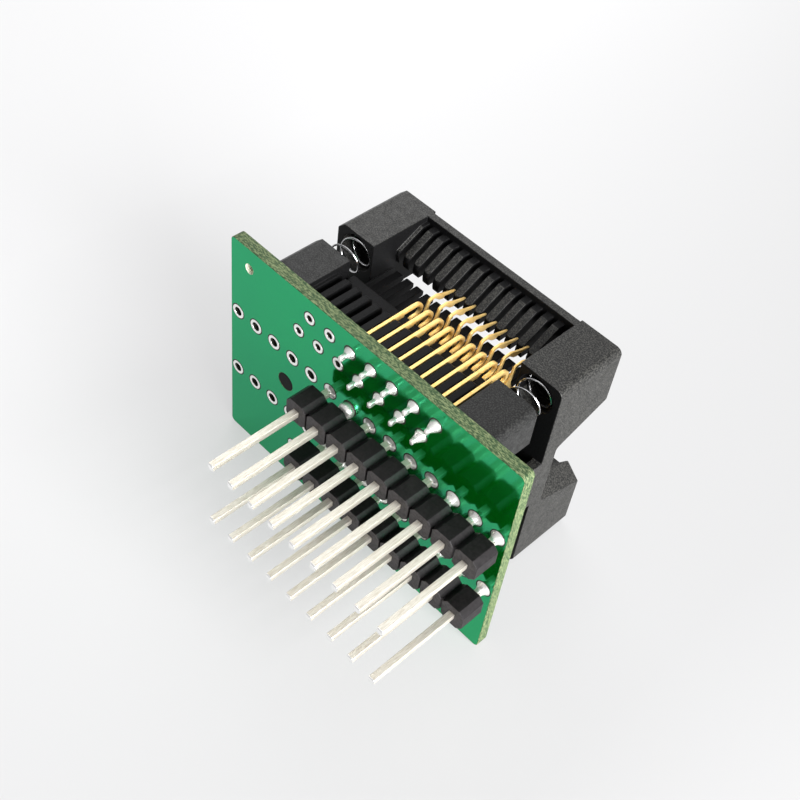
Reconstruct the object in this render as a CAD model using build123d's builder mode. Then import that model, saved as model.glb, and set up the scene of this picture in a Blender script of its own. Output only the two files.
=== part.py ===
from build123d import *
import math
import os

# An adapter that seats a wide small-outline chip in a spring-loaded socket and brings its leads
# out on two rows of header pins. It lies on its long side: X runs along the rows, Y from the pin
# tips to the top of the socket, and Z up from the board's lower edge. Heights are counted from
# the board's pin face towards the socket, and widths across the rows from the board's middle.

os.makedirs("parts", exist_ok=True)

# Outline of the socket. Widths across the rows are set in from the socket base's long side, so
# that the board, the contacts and the cover follow it.
base_half_length = 13.35
base_half_width = 12.06
base_corner = 0.9
cover_overlap_length = 0.15
cover_overlap_width = 0.12
cover_half_length = base_half_length + cover_overlap_length
cover_half_width = base_half_width + cover_overlap_width
cover_corner = 0.7
index_chamfer = 0.8

# Board
board_length = 35.0
board_margin = 0.44
board_width = 2 * (base_half_width + board_margin)
board_thickness = 1.2
board_corner = 0.5
tooling_hole_d = 1.0
tooling_hole_x = -15.0
tooling_hole_across = 1.86 - base_half_width

# Header rows
row_pitch = 2.54
row_holes = 14
row_spacing = 7.62
row_hole_d = 0.95
empty_positions = 5
pin_side = 0.64
pin_reach = 13.35
pin_point = 0.6
pin_bevel = 0.13
strip_gap = 1.45
strip_height = 2.54
strip_notch = 0.78

# Contacts, stamped from sheet
contact_pitch = 1.27
sheet = 0.32
spring_leg = 0.6
leg_across = base_half_width - 0.9
loop_radius = 0.55
loop_bends = 3
loop_height = 7.65
arm_floor = 6.66
lower_tip_across = base_half_width - 6.91
lower_tip_height = 8.9
lever_width = 0.42
lever_root_across = base_half_width - 3.76
lever_elbow_across = base_half_width - 2.71
lever_elbow_height = 8.75
lever_crank_across = base_half_width - 1.26
lever_crank_height = 9.6
lever_tip_across = base_half_width - 1.96
lever_tip_height = 12.75
beak_across = base_half_width - 6.71
beak_height = 9.75
outer_tail_across = base_half_width - 1.7
inner_tail_across = base_half_width - 4.15
tail_width = 0.5
tail_reach = 1.75
tail_hole_d = 0.8

# Socket base
post_inner_across = base_half_width - 4.15
post_top = 6.33
comb_across = base_half_width - 0.56
comb_top = 5.2
comb_bevel = 0.35
comb_slot = 0.62
shoulder_across = base_half_width - 1.66
nest_half_length = 8.6
nest_wall_outer = base_half_width - 3.26
nest_wall_inner = base_half_width - 3.96
nest_wall_top = 12.2
nest_wall_bevel = 0.2
nest_slot = 0.47
lead_rest_across = base_half_width - 4.86
lead_rest_height = 8.6
chip_seat_across = base_half_width - 7.86
chip_seat_height = 8.2
slot_end_across = base_half_width - 7.31
ledge_height = 0.75
ledge_depth = 0.5
peg_x = 9.65
peg_d = 1.9

# Sliding cover
cover_bottom = 9.1
cover_top = 17.0
rim_step = 0.25
rim_bottom = 15.92
rim_comb_across = base_half_width - 0.5
rim_comb_bottom = 15.1
nose_across = base_half_width - 2.16
nose_height = 12.1
nose_bevel = 0.3
opening_across = base_half_width - 2.96
opening_underside = 12.65
funnel_bottom = 14.9
funnel_flare = 0.6
cover_slot = 0.5
well_floor_half_length = 10.55
well_top_half_length = 11.8
well_half_width = 5.5
notch_floor = 10.9
notch_floor_half_width = 3.8
notch_top_half_width = 5.96
notch_flare = 1.52
notch_round = 0.5
leg_half_width = 3.0
leg_thickness = 1.0
hook_height = 0.8
hook_depth = 0.55
travel = 2.0
running_gap = 0.1

# Cover springs
spring_x = 10.95
spring_across = base_half_width - 2.05
spring_d = 3.05
spring_wire = 0.25
spring_turns = 3
flats_per_turn = 9
spring_pocket_d = 3.7
spring_pocket_depth = 2.0
spring_end_gap = 0.02

# The pin tips and the top of the cover lie equally far from the origin.
pin_face_y = (pin_reach - cover_top) / 2
middle_z = board_width / 2

pin_x = [(i - (row_holes - 1) / 2) * row_pitch for i in range(row_holes)]
contact_x = [(i - (row_holes - 1) / 2) * contact_pitch for i in range(row_holes)]
comb_half_length = row_holes * contact_pitch / 2
sides = {"near": -1, "far": 1}
rows = {"a": -row_spacing / 2, "b": row_spacing / 2}
leg_bottom = board_thickness + running_gap + travel
ledge_bottom = leg_bottom + hook_height + running_gap
end_wall_top = ledge_bottom + ledge_height
end_wall_x = cover_half_length - leg_thickness - running_gap


def tail_across(position):
    """The tails of neighbouring contacts take turns in an outer and an inner row."""
    return outer_tail_across if position % 2 else inner_tail_across


def level(height):
    """A plane parallel to the board: sketch x along the rows, sketch y across them."""
    return Plane(origin=(0, pin_face_y + height, middle_z), x_dir=(1, 0, 0), z_dir=(0, 1, 0))


def section(x):
    """The plane across the rows at x: sketch x across the rows, sketch y the height."""
    return Plane(origin=(x, pin_face_y, middle_z), x_dir=(0, 0, -1), z_dir=(1, 0, 0))


def lengthwise():
    """The plane along the middle of the board: sketch x along the rows, sketch y the height."""
    return Plane(origin=(0, pin_face_y, middle_z), x_dir=(1, 0, 0), z_dir=(0, 0, 1))


def both_sides(points):
    """The places of the points, given near side out, and of their mirror images across the rows."""
    return [(x, side * across) for x, across in points for side in sides.values()]


def keep(piece, name):
    piece.part.label = name
    export_step(piece.part, f"parts/{name}.step")


def socket_outline(half_length, half_width, corner):
    """A rectangle with three round corners, and a flat one that marks the first contact."""
    Rectangle(2 * half_length, 2 * half_width)
    corners = vertices().sort_by(lambda v: v.X + v.Y)
    fillet(corners[1:], corner)
    chamfer(vertices().sort_by(lambda v: v.X + v.Y)[0], index_chamfer)


# The printed board. Solder fills the holes round the pins and the tails, so there the board's
# opening is the pin's or the tail's own section.
with BuildPart() as pcb:
    with BuildSketch(level(0)):
        RectangleRounded(board_length, board_width, board_corner)
        with Locations(*[(x, row) for x in pin_x[:empty_positions] for row in rows.values()]):
            Circle(row_hole_d / 2, mode=Mode.SUBTRACT)
        with Locations(*[(x, row) for x in pin_x[empty_positions:] for row in rows.values()]):
            Rectangle(pin_side, pin_side, mode=Mode.SUBTRACT)
        tails = [(x, tail_across(i)) for i, x in enumerate(contact_x)]
        with Locations(*both_sides(tails[:empty_positions])):
            RegularPolygon(tail_hole_d / 2, 6, mode=Mode.SUBTRACT)
        with Locations(*both_sides(tails[empty_positions:])):
            Rectangle(sheet, tail_width, mode=Mode.SUBTRACT)
        with Locations((-peg_x, 0), (peg_x, 0)):
            Circle(peg_d / 2, mode=Mode.SUBTRACT)
        with Locations((tooling_hole_x, tooling_hole_across)):
            Circle(tooling_hole_d / 2, mode=Mode.SUBTRACT)
    extrude(amount=board_thickness)
keep(pcb, "pcb")


# The header strips: a moulded block for each pin, joined at the waist.
def header_strip(row):
    with BuildPart() as strip:
        with BuildSketch(level(-strip_gap)):
            pins = pin_x[empty_positions:]
            length = len(pins) * row_pitch
            middle = (pins[0] + pins[-1]) / 2
            with Locations((middle, row)):
                Rectangle(length, row_pitch)
            waists = [middle - length / 2 + i * row_pitch for i in range(len(pins) + 1)]
            edges_across = [row - row_pitch / 2, row + row_pitch / 2]
            with Locations(*[(x, across) for x in waists for across in edges_across]):
                Rectangle(strip_notch, strip_notch, rotation=45, mode=Mode.SUBTRACT)
            with Locations(*[(x, row) for x in pins]):
                Rectangle(pin_side, pin_side, mode=Mode.SUBTRACT)
        extrude(amount=-strip_height)
    return strip


for row_name, row in rows.items():
    keep(header_strip(row), f"header_strip_{row_name}")


# The header pins: square wire with a blunt point, through the strip and the board.
def header_pin(x, row):
    with BuildPart() as pin:
        with BuildSketch(level(board_thickness)):
            with Locations((x, row)):
                Rectangle(pin_side, pin_side)
        extrude(amount=-(board_thickness + pin_reach))
        tip = pin.faces().sort_by(Axis.Y)[0]
        chamfer(tip.edges(), length=pin_bevel, length2=pin_point, reference=tip)
    return pin


for row_name, row in rows.items():
    for number, x in enumerate(pin_x[empty_positions:], start=1):
        keep(header_pin(x, row), f"header_pin_{row_name}{number}")


# The contacts: each is one flat stamping. Its foot lies on the board with the tail soldered
# below it, the spring leg rises in the base's comb and loops over to the arm that carries the
# chip's lead, and the lever pivots over the loop, with its beak inside and its handle in the
# cover's comb.
foot_height = board_thickness + spring_leg / 2
arm_height = arm_floor + spring_leg / 2
arm_across = leg_across - 2 * loop_radius


def loop_points(side):
    """The loop over the spring leg, pressed in a few short bends."""
    turns = [math.pi * i / loop_bends for i in range(loop_bends + 1)]
    middle = leg_across - loop_radius
    return [
        (
            side * (middle + loop_radius * math.cos(turn)),
            loop_height + loop_radius * math.sin(turn),
        )
        for turn in turns
    ]


def contact(x, side, tail):
    with BuildPart() as stamping:
        with BuildSketch(section(x - sheet / 2)):
            with BuildLine():
                Polyline(
                    (side * (tail - tail_width / 2), foot_height),
                    (side * leg_across, foot_height),
                    (side * leg_across, loop_height),
                )
                Polyline(*loop_points(side))
                Polyline(
                    (side * arm_across, loop_height),
                    (side * arm_across, arm_height),
                    (side * lower_tip_across, arm_height),
                    (side * lower_tip_across, lower_tip_height),
                )
            trace(line_width=spring_leg)
            with BuildLine():
                Polyline(
                    (side * lever_root_across, arm_height),
                    (side * lever_elbow_across, lever_elbow_height),
                    (side * lever_crank_across, lever_crank_height),
                    (side * lever_tip_across, lever_tip_height),
                )
            trace(line_width=lever_width)
            with BuildLine():
                Polyline(
                    (side * lever_elbow_across, lever_elbow_height),
                    (side * beak_across, beak_height),
                )
            trace(line_width=lever_width)
            with Locations((side * tail, foot_height)):
                Rectangle(tail_width, foot_height + tail_reach, align=(Align.CENTER, Align.MAX))
        extrude(amount=sheet)
    return stamping


for side_name, side in sides.items():
    for number, position in enumerate(range(empty_positions, row_holes), start=1):
        piece = contact(contact_x[position], side, tail_across(position))
        keep(piece, f"contact_{side_name}_{number}")


# The socket base: four corner posts, a comb along each side for the spring legs, and the nest
# that the chip sits in, with a slot for each contact whether it is fitted or not.
with BuildPart() as socket_base:
    with BuildSketch(level(board_thickness)):
        socket_outline(base_half_length, base_half_width, base_corner)
        Rectangle(2 * comb_half_length, 2 * base_half_width, mode=Mode.SUBTRACT)
        Rectangle(2 * base_half_length, 2 * post_inner_across, mode=Mode.SUBTRACT)
    extrude(amount=post_top - board_thickness)
    with BuildSketch(level(board_thickness)):
        Rectangle(2 * end_wall_x, 2 * post_inner_across)
    extrude(amount=end_wall_top - board_thickness)
    with BuildSketch(section(-nest_half_length)):
        with BuildLine():
            Polyline(
                (0, board_thickness),
                (shoulder_across, board_thickness),
                (shoulder_across, arm_floor),
                (nest_wall_outer, arm_floor),
                (nest_wall_outer, nest_wall_top - nest_wall_bevel),
                (nest_wall_outer - nest_wall_bevel, nest_wall_top),
                (nest_wall_inner, nest_wall_top),
                (lead_rest_across, lead_rest_height),
                (chip_seat_across, lead_rest_height),
                (chip_seat_across, chip_seat_height),
                (0, chip_seat_height),
                close=True,
            )
        make_face()
        mirror(about=Plane.YZ)
    extrude(amount=2 * nest_half_length)
    with BuildSketch(section(-comb_half_length)):
        for side in sides.values():
            with Locations((side * comb_across, board_thickness)):
                Rectangle(
                    comb_across - shoulder_across,
                    comb_top - board_thickness,
                    align=(Align.MAX if side > 0 else Align.MIN, Align.MIN),
                )
        crowns = vertices().group_by(Axis.Y)[-1]
        chamfer([crowns.sort_by(Axis.X)[0], crowns.sort_by(Axis.X)[-1]], comb_bevel)
    extrude(amount=2 * comb_half_length)
    with BuildSketch(level(board_thickness)):
        Rectangle(2 * comb_half_length, 2 * shoulder_across)
    extrude(amount=comb_top - board_thickness)
    # the comb's slots, the nest's slots and a trough along each side for the contacts' feet
    comb_depth = comb_across - shoulder_across
    with BuildSketch(level(board_thickness)):
        with Locations(*both_sides([(x, comb_across - comb_depth / 2) for x in contact_x])):
            Rectangle(comb_slot, comb_depth)
    extrude(amount=comb_top - board_thickness, mode=Mode.SUBTRACT)
    slot_length = nest_wall_outer - slot_end_across
    with BuildSketch(level(arm_floor)):
        with Locations(*both_sides([(x, nest_wall_outer - slot_length / 2) for x in contact_x])):
            Rectangle(nest_slot, slot_length)
    extrude(amount=nest_wall_top - arm_floor, mode=Mode.SUBTRACT)
    trough_inner = inner_tail_across - tail_width / 2
    trough_width = shoulder_across - trough_inner
    trough_length = contact_x[-1] - contact_x[empty_positions] + sheet
    trough_x = (contact_x[-1] + contact_x[empty_positions]) / 2
    with BuildSketch(level(board_thickness)):
        with Locations(*both_sides([(trough_x, trough_inner + trough_width / 2)])):
            Rectangle(trough_length, trough_width)
    extrude(amount=spring_leg, mode=Mode.SUBTRACT)
    # the recess at each end that the cover's hook travels in, and the pegs
    with BuildSketch(level(board_thickness)):
        with Locations((-end_wall_x, 0), (end_wall_x, 0)):
            Rectangle(2 * ledge_depth, 2 * (leg_half_width + running_gap))
    extrude(amount=ledge_bottom - board_thickness, mode=Mode.SUBTRACT)
    with BuildSketch(level(0)):
        with Locations((-peg_x, 0), (peg_x, 0)):
            Circle(peg_d / 2)
    extrude(amount=board_thickness)
keep(socket_base, "socket_base")


def notch_outline(narrowing):
    """The finger notch in each end of the cover, seen along the rows."""
    Polygon(
        (narrowing - notch_floor_half_width, notch_floor),
        (notch_floor_half_width - narrowing, notch_floor),
        (notch_top_half_width - narrowing, cover_top),
        (narrowing - notch_top_half_width, cover_top),
        align=None,
    )
    fillet(vertices().group_by(Axis.Y)[0], notch_round)


# The sliding cover: four towers joined by a low bar at each end and a rim bar along each side.
# The combs under the rim bars open the contacts' levers when the cover is pressed down.
with BuildPart() as cover:
    with BuildSketch(level(cover_bottom)):
        socket_outline(cover_half_length, cover_half_width, cover_corner)
    extrude(amount=cover_top - cover_bottom)
    rim_top = cover_top - rim_step
    with BuildSketch(level(rim_top)):
        Rectangle(2 * comb_half_length, 2 * cover_half_width)
    extrude(amount=rim_step, mode=Mode.SUBTRACT)
    # the long opening, flared at the top, and the windows outside the combs
    with BuildSketch(section(-comb_half_length)):
        Polygon(
            (-opening_across, cover_bottom),
            (opening_across, cover_bottom),
            (opening_across, funnel_bottom),
            (opening_across + funnel_flare, rim_top),
            (-opening_across - funnel_flare, rim_top),
            (-opening_across, funnel_bottom),
            align=None,
        )
    extrude(amount=2 * comb_half_length, mode=Mode.SUBTRACT)
    with BuildSketch(section(-comb_half_length)):
        Polygon(
            (cover_half_width, cover_bottom),
            (cover_half_width, rim_bottom),
            (rim_comb_across, rim_bottom),
            (rim_comb_across, rim_comb_bottom),
            (nose_across, nose_height),
            (opening_across, opening_underside),
            (opening_across, cover_bottom),
            align=None,
        )
        nose = vertices().sort_by_distance((nose_across, nose_height))[0]
        chamfer(nose, nose_bevel)
        mirror(about=Plane.YZ)
    extrude(amount=2 * comb_half_length, mode=Mode.SUBTRACT)
    # the slots that the contacts' levers stand in
    slot_depth = rim_comb_across - opening_across
    with BuildSketch(level(cover_bottom)):
        with Locations(*both_sides([(x, rim_comb_across - slot_depth / 2) for x in contact_x])):
            Rectangle(cover_slot, slot_depth)
    extrude(amount=rim_bottom - cover_bottom, mode=Mode.SUBTRACT)
    # the chip's well, which widens to the top, and the finger notch that opens through each end
    with BuildSketch(lengthwise()):
        Polygon(
            (-well_floor_half_length, notch_floor),
            (well_floor_half_length, notch_floor),
            (well_top_half_length, cover_top),
            (-well_top_half_length, cover_top),
            align=None,
        )
    extrude(amount=well_half_width, both=True, mode=Mode.SUBTRACT)
    with BuildSketch(section(-well_top_half_length)):
        notch_outline(notch_flare)
    extrude(amount=2 * well_top_half_length, mode=Mode.SUBTRACT)
    for end in (-1, 1):
        with BuildSketch(section(end * well_top_half_length)) as inner:
            notch_outline(notch_flare)
        with BuildSketch(section(end * cover_half_length)) as outer:
            notch_outline(0)
        loft([inner.sketch, outer.sketch], ruled=True, mode=Mode.SUBTRACT)
    # the spring pockets, and the hooked leg at each end that keeps the cover on
    with BuildSketch(level(cover_bottom)):
        with Locations(*both_sides([(-spring_x, spring_across), (spring_x, spring_across)])):
            Circle(spring_pocket_d / 2)
    extrude(amount=spring_pocket_depth, mode=Mode.SUBTRACT)
    leg_inner = cover_half_length - leg_thickness
    with BuildSketch(lengthwise()):
        for end in (-1, 1):
            Polygon(
                (end * cover_half_length, cover_bottom),
                (end * cover_half_length, leg_bottom),
                (end * (leg_inner - hook_depth / 2), leg_bottom),
                (end * (leg_inner - hook_depth), leg_bottom + hook_height / 2),
                (end * (leg_inner - hook_depth), leg_bottom + hook_height),
                (end * leg_inner, leg_bottom + hook_height),
                (end * leg_inner, cover_bottom),
                align=None,
            )
    extrude(amount=leg_half_width, both=True)
keep(cover, "cover")


# The four springs that lift the cover, each between the flat top of a post and its pocket.
spring_bottom = post_top + spring_wire / 2 + spring_end_gap
spring_top = cover_bottom + spring_pocket_depth - spring_wire / 2 - spring_end_gap


def cover_spring(x, across):
    """A coil of square wire, bent over a form with a few flats to the turn."""
    steps = spring_turns * flats_per_turn
    turns = [2 * math.pi * i / flats_per_turn for i in range(steps + 1)]
    rise = (spring_top - spring_bottom) / steps
    path = [
        level(spring_bottom + i * rise).from_local_coords(
            (x + spring_d / 2 * math.cos(turn), across + spring_d / 2 * math.sin(turn), 0)
        )
        for i, turn in enumerate(turns)
    ]
    with BuildPart() as coil:
        with BuildLine():
            wire = Polyline(*path)
        with BuildSketch(Plane(origin=wire @ 0, z_dir=wire % 0)):
            RegularPolygon(spring_wire / 2, 4)
        sweep(path=wire, transition=Transition.RIGHT)
    return coil


for side_name, side in sides.items():
    for end_name, end in {"left": -1, "right": 1}.items():
        keep(cover_spring(end * spring_x, side * spring_across), f"spring_{side_name}_{end_name}")
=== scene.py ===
import math

import bmesh
import bpy
from mathutils import Matrix, Vector


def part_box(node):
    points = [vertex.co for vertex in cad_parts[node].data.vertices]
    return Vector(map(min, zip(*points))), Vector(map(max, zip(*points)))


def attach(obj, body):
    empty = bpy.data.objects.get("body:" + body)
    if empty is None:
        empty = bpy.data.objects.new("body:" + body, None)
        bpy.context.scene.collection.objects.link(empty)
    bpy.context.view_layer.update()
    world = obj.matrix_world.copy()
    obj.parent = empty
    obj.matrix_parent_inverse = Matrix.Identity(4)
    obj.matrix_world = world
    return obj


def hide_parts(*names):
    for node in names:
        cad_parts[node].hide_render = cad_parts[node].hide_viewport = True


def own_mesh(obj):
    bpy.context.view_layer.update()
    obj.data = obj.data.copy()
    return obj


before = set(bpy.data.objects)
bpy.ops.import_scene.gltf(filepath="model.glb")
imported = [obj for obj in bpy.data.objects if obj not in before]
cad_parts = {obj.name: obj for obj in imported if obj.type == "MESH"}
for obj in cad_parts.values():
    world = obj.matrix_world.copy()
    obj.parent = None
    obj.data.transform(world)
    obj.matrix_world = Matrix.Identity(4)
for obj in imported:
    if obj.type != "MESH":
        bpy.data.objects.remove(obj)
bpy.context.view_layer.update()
mm = 0.001
tolerance = 0.01 * mm
weld_distance = 0.002 * mm


# The printed board: 1.2 mm of glass cloth and resin under a glossy green solder mask, routed to
# its outline, so that the cut edges show the fibre. Each open hole is plated through, with a
# tinned ring on both faces.
board_low, board_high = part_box("pcb")
pin_face = board_low.y
middle = (board_low.z + board_high.z) / 2
board_thickness = (board_high.y - board_low.y) / mm
board_edge_round = 0.05
row_pitch = 2.54
row_across = 3.81
contact_pitch = 1.27
positions = 14
empty_positions = 5
outer_tail_across = 10.36
inner_tail_across = 7.91
pad_rise = 0.035
pad_root = 0.6
pad_inner_lip = 0.05
pad_outer_lip = 0.04
header_pad_radius = 0.76
header_hole_radius = 0.46
tail_pad_radius = 0.64
tail_hole_radius = 0.335
lining_depth = 0.15
lining_inset = 0.01
mask_clearance = 0.09
mask_overlap = 0.1
opening_rise = 0.008
opening_sink = 0.02
mask_face = 0.95
mask_green = (0.0008, 0.130, 0.006)
mask_green_deep = (0.0005, 0.095, 0.004)
mask_glint = (0.09, 1.0, 0.48, 1)
fibre_pale = (0.23, 0.28, 0.13)
fibre_dark = (0.012, 0.05, 0.010)
drilled_pale = (0.85, 0.85, 0.70)
tooling_hole = (-15.0, -10.2)
tooling_hole_reach = 0.8


def at(x, across, height):
    """A point in millimetres along the rows, across them from the middle, and over the pin face."""
    return Vector((x * mm, pin_face + height * mm, middle - across * mm))


def plain_finish(name, colour, metallic, roughness, **more):
    """A material with one shader, set to plain values; further inputs by their Blender names."""
    material = bpy.data.materials.new(name)
    material.use_nodes = True
    shader = material.node_tree.nodes["Principled BSDF"]
    values = {"Base Color": (*colour, 1), "Metallic": metallic, "Roughness": roughness, **more}
    for socket_name, value in values.items():
        shader.inputs[socket_name].default_value = value
    return material


def grain(material, size, detail=3.0, stretch=(1, 1, 1)):
    """Noise on the object's own coordinates, with grains of the size given in millimetres."""
    tree = material.node_tree
    place = tree.nodes.new("ShaderNodeTexCoord")
    mapping = tree.nodes.new("ShaderNodeMapping")
    mapping.inputs["Scale"].default_value = stretch
    noise = tree.nodes.new("ShaderNodeTexNoise")
    noise.inputs["Scale"].default_value = 1 / (size * mm)
    noise.inputs["Detail"].default_value = detail
    tree.links.new(place.outputs["Object"], mapping.inputs["Vector"])
    tree.links.new(mapping.outputs["Vector"], noise.inputs["Vector"])
    return noise.outputs["Fac"]


def tint(material, source, low_colour, high_colour, low=0.35, high=0.65):
    """Runs the base colour from one colour to the other as the source goes from low to high."""
    tree = material.node_tree
    ramp = tree.nodes.new("ShaderNodeValToRGB")
    ramp.color_ramp.elements[0].position = low
    ramp.color_ramp.elements[0].color = (*low_colour, 1)
    ramp.color_ramp.elements[1].position = high
    ramp.color_ramp.elements[1].color = (*high_colour, 1)
    tree.links.new(source, ramp.inputs["Fac"])
    shader = tree.nodes["Principled BSDF"]
    tree.links.new(ramp.outputs["Color"], shader.inputs["Base Color"])


def mapped(tree, source, reach, levels):
    """Runs from the first level to the second as the source crosses its reach."""
    spread = tree.nodes.new("ShaderNodeMapRange")
    ends = zip(("From Min", "From Max", "To Min", "To Max"), (*reach, *levels))
    for socket_name, value in ends:
        spread.inputs[socket_name].default_value = value
    tree.links.new(source, spread.inputs["Value"])
    return spread.outputs["Result"]


def vary_roughness(material, source, smoothest, roughest):
    """Runs the roughness over its range with the grain."""
    tree = material.node_tree
    roughness = mapped(tree, source, (0.3, 0.7), (smoothest, roughest))
    tree.links.new(roughness, tree.nodes["Principled BSDF"].inputs["Roughness"])


def emboss(material, source, depth, strength=1.0):
    """Raises the surface by the source, by up to the depth in millimetres."""
    tree = material.node_tree
    bump = tree.nodes.new("ShaderNodeBump")
    bump.inputs["Strength"].default_value = strength
    bump.inputs["Distance"].default_value = depth * mm
    tree.links.new(source, bump.inputs["Height"])
    tree.links.new(bump.outputs["Normal"], tree.nodes["Principled BSDF"].inputs["Normal"])


def merged(node):
    """A mesh like the node's, with its loose triangles joined into whole faces."""
    bm = bmesh.new()
    bm.from_mesh(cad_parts[node].data)
    bmesh.ops.remove_doubles(bm, verts=bm.verts, dist=weld_distance)
    bmesh.ops.dissolve_limit(bm, angle_limit=math.radians(1), verts=bm.verts, edges=bm.edges)
    return bm


def round_edges(bm, edges, radius, segments, clamped=True):
    """Rounds the edges by a radius in millimetres."""
    bmesh.ops.bevel(
        bm, geom=edges, offset=radius * mm, offset_type="OFFSET", segments=segments,
        profile=0.5, affect="EDGES", clamp_overlap=clamped, material=-1,
    )


def rounded(bm, radius):
    """Breaks the sharp edges by a small round."""
    sharp_angle = math.radians(25)
    sharp = [e for e in bm.edges if e.is_manifold and e.calc_face_angle(0) > sharp_angle]
    round_edges(bm, sharp, radius, 2, clamped=False)
    return bm


def spun(bm, profile, x, across, steps=24):
    """Turns a profile of (radius, height) points round an axis that stands on the board."""
    points = [bm.verts.new(at(x + radius, across, height)) for radius, height in profile]
    edges = [bm.edges.new(pair) for pair in zip(points, points[1:])]
    bmesh.ops.spin(
        bm, geom=points + edges, cent=at(x, across, 0), axis=(0, 1, 0),
        angle=math.tau, steps=steps, use_merge=True,
    )


def add_piece(bm, name, materials, replaced=(), body="adapter"):
    """Turns a mesh into a finished piece that rides on its body."""
    mesh = bpy.data.meshes.new(name)
    bm.to_mesh(mesh)
    bm.free()
    mesh.shade_smooth()
    mesh.set_sharp_from_angle(angle=math.radians(40))
    for material in materials:
        mesh.materials.append(material)
    piece = bpy.data.objects.new(name, mesh)
    bpy.context.scene.collection.objects.link(piece)
    piece.modifiers.new("flat_faces_stay_flat", "WEIGHTED_NORMAL").keep_sharp = True
    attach(piece, body)
    if replaced:
        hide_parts(*replaced)
    return piece


solder_mask = plain_finish("solder_mask", mask_green, 0, 0.1, **{
    "IOR": 2.3, "Specular IOR Level": 1.0, "Specular Tint": mask_glint})
tint(solder_mask, grain(solder_mask, 6.0), mask_green_deep, mask_green)
vary_roughness(solder_mask, grain(solder_mask, 1.5), 0.06, 0.13)
emboss(solder_mask, grain(solder_mask, 0.7, detail=2), 0.012, strength=0.25)

cut_fibre = plain_finish("cut_fibre", fibre_pale, 0, 0.65)
tint(cut_fibre, grain(cut_fibre, 0.3, detail=5, stretch=(1, 3.5, 1)), fibre_dark, fibre_pale,
     0.42, 0.64)
emboss(cut_fibre, grain(cut_fibre, 0.16, detail=4, stretch=(1, 4, 1)), 0.06, strength=0.8)

drilled_wall = plain_finish("drilled_wall", drilled_pale, 0, 0.7)
tint(drilled_wall, grain(drilled_wall, 0.2), drilled_pale, fibre_pale, 0.5, 0.8)

board = rounded(merged("pcb"), board_edge_round)
hole_axis = at(*tooling_hole, board_thickness / 2)
for face in board.faces:
    from_hole = face.calc_center_median() - hole_axis
    drilled = from_hole.length < tooling_hole_reach * mm
    face.material_index = 0 if abs(face.normal.y) > mask_face else 2 if drilled else 1
add_piece(board, "masked_board", [solder_mask, cut_fibre, drilled_wall], ["pcb"])

tinned = plain_finish("tinned_copper", (0.93, 0.93, 0.91), 1, 0.3)
vary_roughness(tinned, grain(tinned, 0.5), 0.25, 0.4)
emboss(tinned, grain(tinned, 0.35, detail=2), 0.03, strength=0.3)
# A near-black colour on the walls of the open holes and in the thin gap between each pad and the
# mask: painted shade. The gap itself is real.
painted_shade_laminate = plain_finish("painted_shade_laminate", (0.012, 0.014, 0.008), 0, 0.6)
tint(painted_shade_laminate, grain(painted_shade_laminate, 0.2), (0.006, 0.008, 0.004), (0.02, 0.022, 0.012))

pin_x = [(i - (positions - 1) / 2) * row_pitch for i in range(positions)]
contact_x = [(i - (positions - 1) / 2) * contact_pitch for i in range(positions)]
fitted_positions = range(empty_positions, positions)


def tail_across(position):
    """The tails of neighbouring contacts take turns in an outer and an inner row."""
    return outer_tail_across if position % 2 else inner_tail_across


def closed_up(bm):
    """Merges the seams and poles of spun shapes and turns their faces outwards."""
    bmesh.ops.remove_doubles(bm, verts=bm.verts, dist=weld_distance)
    bmesh.ops.recalc_face_normals(bm, faces=bm.faces)
    return bm


def ring_pad(bm, x, across, pad_radius, hole_radius, face, rise):
    """A flat tinned ring that stands on one face of the board, with a soft inner lip."""
    sunk = face - pad_root * rise
    spun(bm, [
        (hole_radius, sunk), (hole_radius + 0.01, face + pad_root * rise),
        (hole_radius + pad_inner_lip, face + rise), (pad_radius - pad_outer_lip, face + rise),
        (pad_radius, sunk), (hole_radius, sunk),
    ], x, across)


def sleeve(bm, x, across, inner, outer, low, high):
    """A square-edged ring between two radii and two heights."""
    spun(bm, [(inner, low), (outer, low), (outer, high), (inner, high), (inner, low)], x, across)


rings, hole_linings, mask_openings = bmesh.new(), bmesh.new(), bmesh.new()
for side in (-1, 1):
    open_holes = [(x, side * row_across, header_pad_radius, header_hole_radius)
                  for x in pin_x[:empty_positions]]
    open_holes += [(x, side * tail_across(position), tail_pad_radius, tail_hole_radius)
                   for position, x in enumerate(contact_x[:empty_positions])]
    for x, across, pad_radius, hole_radius in open_holes:
        ring_pad(rings, x, across, pad_radius, hole_radius, 0, -pad_rise)
        ring_pad(rings, x, across, pad_radius, hole_radius, board_thickness, pad_rise)
        sleeve(hole_linings, x, across, hole_radius, hole_radius + lining_depth,
               lining_inset, board_thickness - lining_inset)
    joints = [(x, side * row_across, header_pad_radius) for x in pin_x]
    joints += [(x, side * tail_across(position), tail_pad_radius)
               for position, x in enumerate(contact_x)]
    for x, across, pad_radius in joints:
        sleeve(mask_openings, x, across, pad_radius - mask_overlap, pad_radius + mask_clearance,
               -opening_rise, opening_sink)
add_piece(closed_up(rings), "plated_rings", [tinned])
# The walls of the open holes are near black: painted shade.
add_piece(closed_up(hole_linings), "hole_linings", [painted_shade_laminate])
# The thin gap round each pad is real; its near-black colour is painted shade.
add_piece(closed_up(mask_openings), "mask_openings", [painted_shade_laminate])


# The header strips: black moulded blocks in a row, one for each pin, that hold the pins square
# and stand a little off the board. Their sides are smooth and the face that the pins leave by is
# matt, with a groove between one block and the next. That face is also painted lighter than the
# rest of the strip: painted light.
strip_round = 0.05
strip_black = (0.005, 0.004, 0.0045)
strip_grey = (0.011, 0.009, 0.010)
# A much lighter copy of the strips' black for the face that the pins leave by: painted light.
painted_light_front = (0.042, 0.037, 0.039)
groove_half_width = 0.1
groove_depth = 0.4
squarely_down = -0.9

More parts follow.
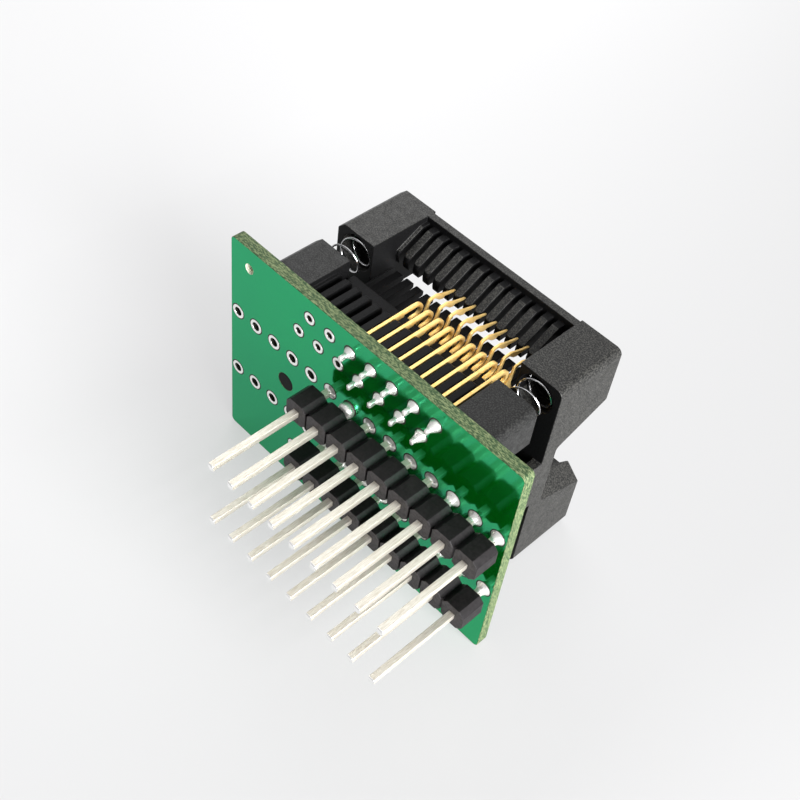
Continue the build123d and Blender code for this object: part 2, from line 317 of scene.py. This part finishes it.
strip_plastic = plain_finish("strip_plastic", strip_black, 0, 0.42, **{"Specular IOR Level": 0.2})
tint(strip_plastic, grain(strip_plastic, 0.25, detail=5), strip_black, strip_grey)
vary_roughness(strip_plastic, grain(strip_plastic, 0.8), 0.34, 0.5)
emboss(strip_plastic, grain(strip_plastic, 0.08, detail=3), 0.01, strength=0.4)

painted_light_matt = plain_finish("strip_matt_face", painted_light_front, 0, 0.6)
tint(painted_light_matt, grain(painted_light_matt, 0.25, detail=5), strip_grey, painted_light_front, 0.3, 0.6)

for row in "ab":
    strip = merged(f"header_strip_{row}")
    outer_face = min(v.co.y for v in strip.verts)
    for x in pin_x[empty_positions:-1]:
        groove = (x + row_pitch / 2) * mm
        for beside in (-groove_half_width, 0, groove_half_width):
            bmesh.ops.bisect_plane(
                strip, geom=strip.verts[:] + strip.edges[:] + strip.faces[:], dist=0.0001 * mm,
                plane_co=(groove + beside * mm, 0, 0), plane_no=(1, 0, 0),
            )
        for v in strip.verts:
            if abs(v.co.x - groove) < tolerance and v.co.y < outer_face + tolerance:
                v.co.y += groove_depth * mm
    # The face that the pins leave by takes the lighter copy. Its matt finish is real; its lighter
    # colour is painted light.
    for face in strip.faces:
        face.material_index = 1 if face.normal.y < squarely_down else 0
    add_piece(rounded(strip, strip_round), f"moulded_strip_{row}", [strip_plastic, painted_light_matt],
              [f"header_strip_{row}"])


# The header pins: square brass wire, tin plated, cut off blunt with its edges broken. They are
# driven through the strip and soldered to the board from this side.
pin_round = 0.05
pin_end_round = 0.15
tin_bright = (0.80, 0.765, 0.69)
tin_dull = (0.62, 0.57, 0.48)

tin_plate = plain_finish("tin_plate", tin_bright, 0.75, 0.45)
tint(tin_plate, grain(tin_plate, 0.4, detail=4, stretch=(6, 0.5, 6)), tin_dull, tin_bright)
vary_roughness(tin_plate, grain(tin_plate, 0.3, detail=4, stretch=(8, 0.4, 8)), 0.38, 0.52)
emboss(tin_plate, grain(tin_plate, 0.2, detail=3, stretch=(6, 0.5, 6)), 0.01, strength=0.5)
sheared_end = plain_finish("sheared_end", (0.98, 0.98, 0.97), 1, 0.16)
vary_roughness(sheared_end, grain(sheared_end, 0.2), 0.12, 0.22)


def square_wire(low, high):
    """A length of square wire that fills the box, with its lower end dressed."""
    bm = bmesh.new()
    size = Matrix.Diagonal((*(high - low), 1))
    bmesh.ops.create_cube(bm, matrix=Matrix.Translation((low + high) / 2) @ size)
    tip = [e for e in bm.edges if all(v.co.y < low.y + tolerance for v in e.verts)]
    round_edges(bm, tip, pin_end_round, 3)
    rounded(bm, pin_round)
    for face in bm.faces:
        if face.calc_center_median().y < low.y + pin_end_round * mm:
            face.material_index = 1
    return bm


for row in "ab":
    for number in range(1, positions - empty_positions + 1):
        node = f"header_pin_{row}{number}"
        add_piece(square_wire(*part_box(node)), f"plated_pin_{row}{number}",
                  [tin_plate, sheared_end], [node])


# The solder round the header pins: a bright collar that climbs the pin by as much as the iron
# left on it, over the tinned ring. One joint in the first row took so much that it is a bead.
collar_foot = 0.75
collar_top = 0.37
collar_core = 0.2
collar_hollow = 2.4
solder_sink = 0.02
collar_heights = {
    "a": [0.3, 0.95, 0.35, 0.3, 0.28, 0.33, 0.9, 0.7, 0.85],
    "b": [0.4, 0.6, 0.35, 0.7, 0.45, 0.4, 0.8, 0.5, 0.9],
}
bead_shape = [(0.66, 0.02), (0.78, -0.2), (0.8, -0.45), (0.72, -0.72), (0.55, -0.93), (0.34, -1.02)]
bead_number = 1

solder = plain_finish("solder", (0.80, 0.785, 0.76), 0.8, 0.3)
vary_roughness(solder, grain(solder, 0.6), 0.24, 0.38)
emboss(solder, grain(solder, 0.45, detail=2), 0.04, strength=0.6)


def meniscus(foot, top, height, points=7):
    """The hollow curve of a fillet, from its foot on the board to its top on the metal."""
    shares = [i / (points - 1) for i in range(points)]
    return [(top + (foot - top) * (1 - s) ** collar_hollow, -height * s) for s in shares]


for row, heights in collar_heights.items():
    collars = bmesh.new()
    across = -row_across if row == "a" else row_across
    for number, (x, height) in enumerate(zip(pin_x[empty_positions:], heights)):
        fillet = [(collar_foot, solder_sink), *meniscus(collar_foot, collar_top, height)]
        if row == "a" and number == bead_number:
            fillet = bead_shape
        spun(collars, [*fillet, (collar_core, fillet[-1][1])], x, across)
    add_piece(closed_up(collars), f"pin_solder_{row}", [solder])


# The socket's base: glass-filled black plastic, moulded in one, with a comb along each side that
# holds the contacts' spring legs, a post at each corner and the nest that the chip drops into.
base_round = 0.06
nest_floor = 6.6
nest_wall_foot = (8.0, 8.9)
nest_wall_set = 0.3
nest_crown = 11.9
nest_crown_drop = 0.35
plastic_dark = (0.003, 0.003, 0.003)
# The base's flecks are set darker than the cover's, though it is the same plastic: painted shade.
base_fleck_painted_shade = (0.03, 0.03, 0.029)
# A near-black copy of the same plastic, laid on faces deep inside the combs and nest and on faces
# that look towards the board: painted shade.
painted_shade_black = (0.001, 0.001, 0.001)
painted_shade_fleck = (0.008, 0.008, 0.009)
painted_shade_half_length = 9.35
painted_shade_out = 12.2


def flecked_plastic(name, fleck, shine):
    """Black plastic with the glass filling's pale flecks and a fine skin."""
    material = plain_finish(name, plastic_dark, 0, 0.5, **{"Specular IOR Level": shine})
    tint(material, grain(material, 0.13, detail=5), plastic_dark, fleck, 0.44, 0.64)
    vary_roughness(material, grain(material, 0.6), 0.4, 0.58)
    emboss(material, grain(material, 0.09, detail=4), 0.012, strength=0.5)
    return material


# A darker and less shiny copy of the cover's plastic: painted shade.
base_plastic = flecked_plastic("base_plastic", base_fleck_painted_shade, 0.28)
# The near-black copy of the plastic that paints the shade in the recesses: painted shade, not a
# different plastic.
painted_shade_plastic = plain_finish("painted_shade_plastic", painted_shade_black, 0, 0.6, **{
    "Specular IOR Level": 0.14})
tint(painted_shade_plastic, grain(painted_shade_plastic, 0.11, detail=6), painted_shade_black, painted_shade_fleck, 0.4, 0.75)
emboss(painted_shade_plastic, grain(painted_shade_plastic, 0.09, detail=4), 0.012, strength=0.5)

base = merged("socket_base")
for v in base.verts:
    out, height = abs(middle - v.co.z) / mm, (v.co.y - pin_face) / mm
    if nest_wall_foot[0] < out < nest_wall_foot[1] and height > nest_floor:
        v.co.z += math.copysign(nest_wall_set * mm, middle - v.co.z)
        if height > nest_crown:
            v.co.y -= nest_crown_drop * mm
# Faces in the middle of the base, and faces that look squarely towards the board, take the
# near-black copy: painted shade.
for face in base.faces:
    centre = face.calc_center_median()
    in_painted_shade = abs(centre.x) < painted_shade_half_length * mm and abs(middle - centre.z) < painted_shade_out * mm
    if in_painted_shade or face.normal.y < squarely_down:
        face.material_index = 1
add_piece(rounded(base, base_round), "moulded_base", [base_plastic, painted_shade_plastic],
          ["socket_base"])


# The contacts: stamped flat from spring brass and gold plated. The foot grips the base, the
# spring leg stands in the comb and turns over in a hairpin to the arm under the chip's lead, and
# the lever cranks over the hairpin into the cover's comb.
sides = {"near": -1, "far": 1}
sheet = 0.32
lever_sheet = 0.22
sheet_round = 0.045
leg_width = 0.6
foot_height = 1.5
leg_out = 11.16
shoulder_height = 6.0
shoulder_rise = 0.25
loop_strip = 0.36
loop_radius = 0.67
loop_height = 7.65
arm_height = 6.96
loop_out = leg_out + (leg_width - loop_strip) / 2
arm_out = loop_out - 2 * loop_radius
lower_tip_out = 5.15
lower_tip_height = 8.9
lower_tip_straight = 0.6
lower_tip_taper = 0.7
tail_width = 0.5
tail_lap = 0.1
tail_reach = 1.22
tail_straight = 0.75
tail_taper = 0.6
lever_outline = [
    (8.1, 7.1), (8.5, 6.95), (9.62, 8.85), (10.87, 9.22), (11.0, 9.5), (11.0, 10.3),
    (10.7, 10.95), (10.5, 11.5), (10.25, 12.3), (10.1, 12.78), (9.98, 12.74), (10.08, 12.0),
    (10.22, 11.35), (10.02, 11.1), (10.2, 10.6), (10.68, 10.05), (10.68, 9.7), (10.55, 9.5),
    (9.83, 9.32), (9.3, 9.15), (6.5, 9.9), (5.35, 10.0), (5.25, 9.8), (6.4, 9.55), (8.95, 8.75),
]
gold_pale = (0.98, 0.70, 0.27)
gold_deep = (0.92, 0.60, 0.18)

gold_plate = plain_finish("gold_plate", gold_pale, 0.8, 0.48)
tint(gold_plate, grain(gold_plate, 0.5, detail=4), gold_deep, gold_pale, 0.3, 0.5)
vary_roughness(gold_plate, grain(gold_plate, 0.4, detail=3), 0.42, 0.55)
emboss(gold_plate, grain(gold_plate, 0.2, detail=2), 0.005, strength=0.25)


def cut_edge(bm, first, second):
    """The starting edge of a strip, between two (out, height) points on the near side."""
    ends = [bm.verts.new(at(0, -out, height)) for out, height in (first, second)]
    return [bm.edges.new(ends)]


def run_on(bm, edges, out, height, width=1.0):
    """Draws the strip on by a step out and up, and scales its width."""
    new = bmesh.ops.extrude_edge_only(bm, edges=edges)["geom"]
    ends = [v for v in new if isinstance(v, bmesh.types.BMVert)]
    bmesh.ops.translate(bm, verts=ends, vec=(0, height * mm, out * mm))
    centre = sum((v.co for v in ends), Vector()) / len(ends)
    bmesh.ops.scale(bm, verts=ends, vec=(1, width, width), space=Matrix.Translation(-centre))
    return [e for e in new if isinstance(e, bmesh.types.BMEdge)]


def turn_on(bm, edges, out, height, degrees, steps):
    """Draws the strip on round a centre, turning from outwards to upwards."""
    ends = list(dict.fromkeys(v for e in edges for v in e.verts))
    new = bmesh.ops.spin(
        bm, geom=ends + edges, cent=at(0, -out, height), axis=(1, 0, 0),
        angle=-math.radians(degrees), steps=steps,
    )["geom_last"]
    return [e for e in new if isinstance(e, bmesh.types.BMEdge)]


def spring_strip(bm, tail):
    """Foot, spring leg, hairpin, arm and lower tip, with a tail that laps into the foot.

    The tail shares no corner with the foot: a welded corner would be rounded differently each run.
    """
    half = leg_width / 2
    half_loop = loop_strip / 2
    inner_end = tail - tail_width / 2
    edge = cut_edge(bm, (inner_end, foot_height - half), (inner_end, foot_height + half))
    corner = leg_out - half
    edge = run_on(bm, edge, corner - inner_end, 0)
    edge = turn_on(bm, edge, corner, foot_height + half, 90, steps=5)
    edge = run_on(bm, edge, 0, shoulder_height - foot_height - half)
    edge = run_on(bm, edge, loop_out - leg_out, shoulder_rise, loop_strip / leg_width)
    edge = run_on(bm, edge, 0, loop_height - shoulder_height - shoulder_rise)
    edge = turn_on(bm, edge, loop_out - loop_radius, loop_height, 180, steps=16)
    edge = run_on(bm, edge, 0, arm_height + half - loop_height)
    edge = turn_on(bm, edge, arm_out - half, arm_height + half, -90, steps=5)
    edge = run_on(bm, edge, lower_tip_out + half - (arm_out - half), 0)
    edge = turn_on(bm, edge, lower_tip_out + half_loop, arm_height + half, -90, steps=4)
    rise = lower_tip_height - arm_height - half
    edge = run_on(bm, edge, 0, rise * lower_tip_straight)
    run_on(bm, edge, 0, rise * (1 - lower_tip_straight), lower_tip_taper)
    half_tail = tail_width / 2
    tail_top = foot_height - half + tail_lap
    edge = cut_edge(bm, (tail - half_tail, tail_top), (tail + half_tail, tail_top))
    edge = run_on(bm, edge, 0, -tail_top - tail_reach * tail_straight)
    run_on(bm, edge, 0, -tail_reach * (1 - tail_straight), tail_taper)


def lever_strip(bm):
    """The beak, the thin crank over the hairpin, the hub and the finger, as one flat outline."""
    bm.faces.new([bm.verts.new(at(0, -out, height)) for out, height in lever_outline])


def stamping(draw, x, side, thickness, *values):
    """Cuts a strip out of sheet at x and breaks its edges; the far side's is a mirror image."""
    bm = bmesh.new()
    draw(bm, *values)
    bmesh.ops.remove_doubles(bm, verts=bm.verts, dist=weld_distance)
    skin = bmesh.ops.extrude_face_region(bm, geom=bm.faces[:])["geom"]
    raised = [v for v in skin if isinstance(v, bmesh.types.BMVert)]
    bmesh.ops.translate(bm, verts=raised, vec=(thickness * mm, 0, 0))
    bmesh.ops.translate(bm, verts=bm.verts, vec=((x - thickness / 2) * mm, 0, 0))
    bmesh.ops.scale(bm, verts=bm.verts, vec=(1, 1, -side),
                    space=Matrix.Translation((0, 0, -middle)))
    bmesh.ops.recalc_face_normals(bm, faces=bm.faces)
    sharp = [e for e in bm.edges if e.calc_face_angle(0) > math.radians(45)]
    round_edges(bm, sharp, sheet_round, 2)
    return bm


def join_meshes(first, second):
    """Adds the second mesh to the first."""
    carrier = bpy.data.meshes.new("carrier")
    second.to_mesh(carrier)
    second.free()
    first.from_mesh(carrier)
    bpy.data.meshes.remove(carrier)
    return first


for side_name, side in sides.items():
    for number, position in enumerate(fitted_positions, start=1):
        x = contact_x[position]
        spring_part = stamping(spring_strip, x, side, sheet, tail_across(position))
        lever_part = stamping(lever_strip, x, side, lever_sheet)
        add_piece(join_meshes(spring_part, lever_part), f"gold_contact_{side_name}_{number}",
                  [gold_plate], [f"contact_{side_name}_{number}"])


# The solder on the contacts' tails: a bright drop on each, drawn out to a point, and a thin coat
# on the end of the tail that stands out of it.
drop_foot = 0.6
drop_top = 0.2
drop_point = 0.05
drop_heights = [0.7, 0.65, 0.75, 0.65, 0.7, 0.7, 0.72, 1.1, 1.15]
drop_shape = [(0, 1.0), (0.1, 0.96), (0.25, 0.8), (0.45, 0.52), (0.65, 0.26), (0.85, 0.08), (1, 0)]
coat = 0.03
coat_round = 0.13

for side_name, side in sides.items():
    drops = bmesh.new()
    for position, height in zip(fitted_positions, drop_heights):
        x, across = contact_x[position], side * tail_across(position)
        slope = [(drop_top + (drop_foot - drop_top) * wide, -height * share)
                 for share, wide in drop_shape]
        spun(drops, [(drop_foot, solder_sink), *slope, (drop_point, -height)], x, across)
    closed_up(drops)
    for position in fitted_positions:
        length = tail_reach + 2 * coat
        centre = at(contact_x[position], side * tail_across(position), -length / 2 + coat)
        size = Matrix.Diagonal(
            ((sheet + 2 * coat) * mm, length * mm, (tail_width + 2 * coat) * mm, 1))
        stub = bmesh.ops.create_cube(drops, matrix=Matrix.Translation(centre) @ size)
        stub_edges = list(dict.fromkeys(e for v in stub["verts"] for e in v.link_edges))
        round_edges(drops, stub_edges, coat_round, 3)
    add_piece(drops, f"tail_solder_{side_name}", [solder])


# The cover's springs: round steel wire wound in three turns, one at each corner, between the top
# of the base's post and a pocket under the cover. They shorten as the cover goes down.
spring_out = 10.01
spring_x = 10.95
spring_radius = 3.05 / 2
wire_radius = 0.1
spring_bottom = 6.47
spring_top = 10.95
spring_turns = 3
steps_to_turn = 28
wire_segments = 8

steel = plain_finish("spring_steel", (0.52, 0.52, 0.53), 1, 0.2)
vary_roughness(steel, grain(steel, 0.4), 0.14, 0.3)
emboss(steel, grain(steel, 0.15), 0.008, strength=0.4)

spring_length = spring_top - spring_bottom
for side_name, side in sides.items():
    for end_name, end in {"left": -1, "right": 1}.items():
        coil = bmesh.new()
        centre = at(end * spring_x, side * spring_out, spring_bottom)
        start = Matrix.Translation(centre + Vector((spring_radius * mm, 0, 0)))
        ring = bmesh.ops.create_circle(coil, segments=wire_segments, radius=wire_radius * mm,
                                       matrix=start)
        ring_edges = list(dict.fromkeys(e for v in ring["verts"] for e in v.link_edges))
        steps = spring_turns * steps_to_turn
        bmesh.ops.spin(
            coil, geom=ring["verts"] + ring_edges, cent=centre, axis=(0, 1, 0),
            dvec=(0, spring_length * mm / steps, 0), angle=spring_turns * math.tau, steps=steps,
        )
        bmesh.ops.holes_fill(coil, edges=coil.edges, sides=0)
        bmesh.ops.recalc_face_normals(coil, faces=coil.faces)
        name = f"{side_name}_{end_name}"
        spring = add_piece(coil, f"wound_spring_{name}", [steel],
                           [f"spring_{name}"])
        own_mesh(spring)


# The sliding cover: the same plastic, moulded in one with its two rims, the combs under them that
# open the contacts, the well for the chip and a finger notch in each end.
cover_round = 0.08
tooth_round = 0.3
rib_face_tilt = (0.6, 0.95)
rim_inner_out = 11.7
block_underside = 7.0
tooth_zone = (11.9, 12.9)
tooth_nose = (9.5, 10.3)
tooth_nose_drop = 0.13
comb_face = (9.0, 9.2)
comb_face_set = 0.45
comb_foot_drop = 0.3
cover_fleck = (0.056, 0.055, 0.050)

cover_plastic = flecked_plastic("cover_plastic", cover_fleck, 0.36)
cover = merged("cover")
for v in cover.verts:
    out, height = abs(middle - v.co.z) / mm, (v.co.y - pin_face) / mm
    at_foot = tooth_zone[0] < height < tooth_zone[1]
    if comb_face[0] < out < comb_face[1] and abs(v.co.x) < comb_face[1] * mm:
        v.co.z += math.copysign(comb_face_set * mm, middle - v.co.z)
        v.co.y -= comb_foot_drop * mm if at_foot else 0
    elif tooth_nose[0] < out < tooth_nose[1] and at_foot:
        v.co.y -= tooth_nose_drop * mm
nose_sides = [
    e for e in cover.edges
    if abs(e.verts[0].co.x - e.verts[1].co.x) < tolerance
    and all(tooth_zone[0] < (v.co.y - pin_face) / mm < tooth_zone[1]
            and tooth_nose[0] < abs(middle - v.co.z) / mm < tooth_nose[1] for v in e.verts)
]
round_edges(cover, nose_sides, tooth_round, 4, clamped=False)
# Faces in the combs take the near-black copy, except the rib faces and faces that look away from
# the board. So do the cover's undersides above the block height that look towards the board:
# painted shade.
for face in cover.faces:
    centre = face.calc_center_median()
    out = abs(middle - centre.z)
    outward = face.normal.z * math.copysign(1, centre.z - middle)
    in_comb = abs(centre.x) < painted_shade_half_length * mm and out < rim_inner_out * mm
    is_rib_face = rib_face_tilt[0] < outward < rib_face_tilt[1]
    under_the_block = (face.normal.y < squarely_down
                       and centre.y > pin_face + block_underside * mm)
    if under_the_block or in_comb and not is_rib_face and face.normal.y < -squarely_down:
        face.material_index = 1
add_piece(rounded(cover, cover_round), "moulded_cover", [cover_plastic, painted_shade_plastic],
          ["cover"], body="cover")


# The stage: a pale floor under the board's lower edge, three soft lights and an even sky, with
# the camera where the picture was taken. The floor is lifted towards white, as a studio sweep is,
# and keeps the part's shadow.
floor_size = 2.0
floor_pale = (0.30, 0.30, 0.302)
floor_lift = (0.69, 0.38)
floor_lift_reach = (-0.05, 0.03)
far_floor_lift = (0.10, 0.88)
far_floor_reach = (0.10, 0.50)
backdrop_white = (0.92, 0.92, 0.925, 1)
sky_strength = 0.22
sky_in_reflections = 0.66
light_target = (0, 0, 0.01)
camera_azimuth = 39.28
camera_elevation = 48.50
camera_roll = 8.79
camera_place = (0.045424, -0.052223, 0.095918)
camera_lens = 54.217
sensor_width = 36

floor_mesh = bmesh.new()
bmesh.ops.create_grid(floor_mesh, x_segments=1, y_segments=1, size=floor_size / 2)
floor_data = bpy.data.meshes.new("floor")
floor_mesh.to_mesh(floor_data)
floor_mesh.free()
floor = bpy.data.objects.new("floor", floor_data)
bpy.context.scene.collection.objects.link(floor)
floor_finish = plain_finish("pale_floor", floor_pale, 0, 0.9, **{
    "Specular IOR Level": 0.1, "Emission Color": backdrop_white})


def times(tree, source, factor):
    """The source multiplied by a number or by another source."""
    product = tree.nodes.new("ShaderNodeMath")
    product.operation = "MULTIPLY"
    tree.links.new(source, product.inputs[0])
    if isinstance(factor, float):
        product.inputs[1].default_value = factor
    else:
        tree.links.new(factor, product.inputs[1])
    return product.outputs["Value"]


def seen_directly(tree, in_reflections):
    """1 where the camera looks at the stage, less in reflections, 0 where it lights the part."""
    rays = tree.nodes.new("ShaderNodeLightPath")
    either = tree.nodes.new("ShaderNodeMath")
    either.operation = "MAXIMUM"
    tree.links.new(rays.outputs["Is Camera Ray"], either.inputs[0])
    mirrored = times(tree, rays.outputs["Is Glossy Ray"], in_reflections)
    tree.links.new(mirrored, either.inputs[1])
    return either.outputs["Value"]


floor_tree = floor_finish.node_tree
floor_place = floor_tree.nodes.new("ShaderNodeTexCoord")
floor_axes = floor_tree.nodes.new("ShaderNodeSeparateXYZ")
floor_tree.links.new(floor_place.outputs["Object"], floor_axes.inputs["Vector"])
floor_distance = floor_tree.nodes.new("ShaderNodeVectorMath")
floor_distance.operation = "LENGTH"
floor_tree.links.new(floor_place.outputs["Object"], floor_distance.inputs[0])
higher = floor_tree.nodes.new("ShaderNodeMath")
higher.operation = "MAXIMUM"
lifts = [(floor_axes.outputs["X"], floor_lift_reach, floor_lift),
         (floor_distance.outputs["Value"], far_floor_reach, far_floor_lift)]
for socket, (source, reach, levels) in zip(higher.inputs, lifts):
    floor_tree.links.new(mapped(floor_tree, source, reach, levels), socket)
lifted = times(floor_tree, higher.outputs["Value"], seen_directly(floor_tree, 1.0))
floor_shader = floor_tree.nodes["Principled BSDF"]
floor_tree.links.new(lifted, floor_shader.inputs["Emission Strength"])
floor_data.materials.append(floor_finish)


def soft_light(name, place, size, power):
    """A square soft light that faces the part; sizes in metres, power in watts."""
    data = bpy.data.lights.new(name, "AREA")
    data.size = size
    data.energy = power
    light = bpy.data.objects.new(name, data)
    light.location = place
    aim = Vector(light_target) - Vector(place)
    light.rotation_euler = aim.to_track_quat("-Z", "Y").to_euler()
    bpy.context.scene.collection.objects.link(light)


soft_light("back_light", (-0.13, 0.10, 0.12), size=0.13, power=0.13)
soft_light("overhead_light", (0.03, 0.08, 0.42), size=0.42, power=0.34)
soft_light("side_light", (0.25, -0.03, 0.10), size=0.18, power=2.2)

world = bpy.data.worlds.new("even_sky")
world.use_nodes = True
bpy.context.scene.world = world
sky = world.node_tree.nodes["Background"]
sky.inputs["Color"].default_value = backdrop_white
sky_seen = seen_directly(world.node_tree, sky_in_reflections)
sky_level = mapped(world.node_tree, sky_seen, (0, 1), (sky_strength, 1))
world.node_tree.links.new(sky_level, sky.inputs["Strength"])

camera_data = bpy.data.cameras.new("camera")
camera_data.lens = camera_lens
camera_data.sensor_width = sensor_width
camera_data.clip_start = 0.005
camera = bpy.data.objects.new("camera", camera_data)
camera.matrix_world = (
    Matrix.Translation(camera_place)
    @ Matrix.Rotation(math.radians(camera_azimuth), 4, "Z")
    @ Matrix.Rotation(math.radians(90 - camera_elevation), 4, "X")
    @ Matrix.Rotation(math.radians(camera_roll), 4, "Z")
)
bpy.context.scene.collection.objects.link(camera)
bpy.context.scene.camera = camera
bpy.context.scene.view_settings.view_transform = "Standard"
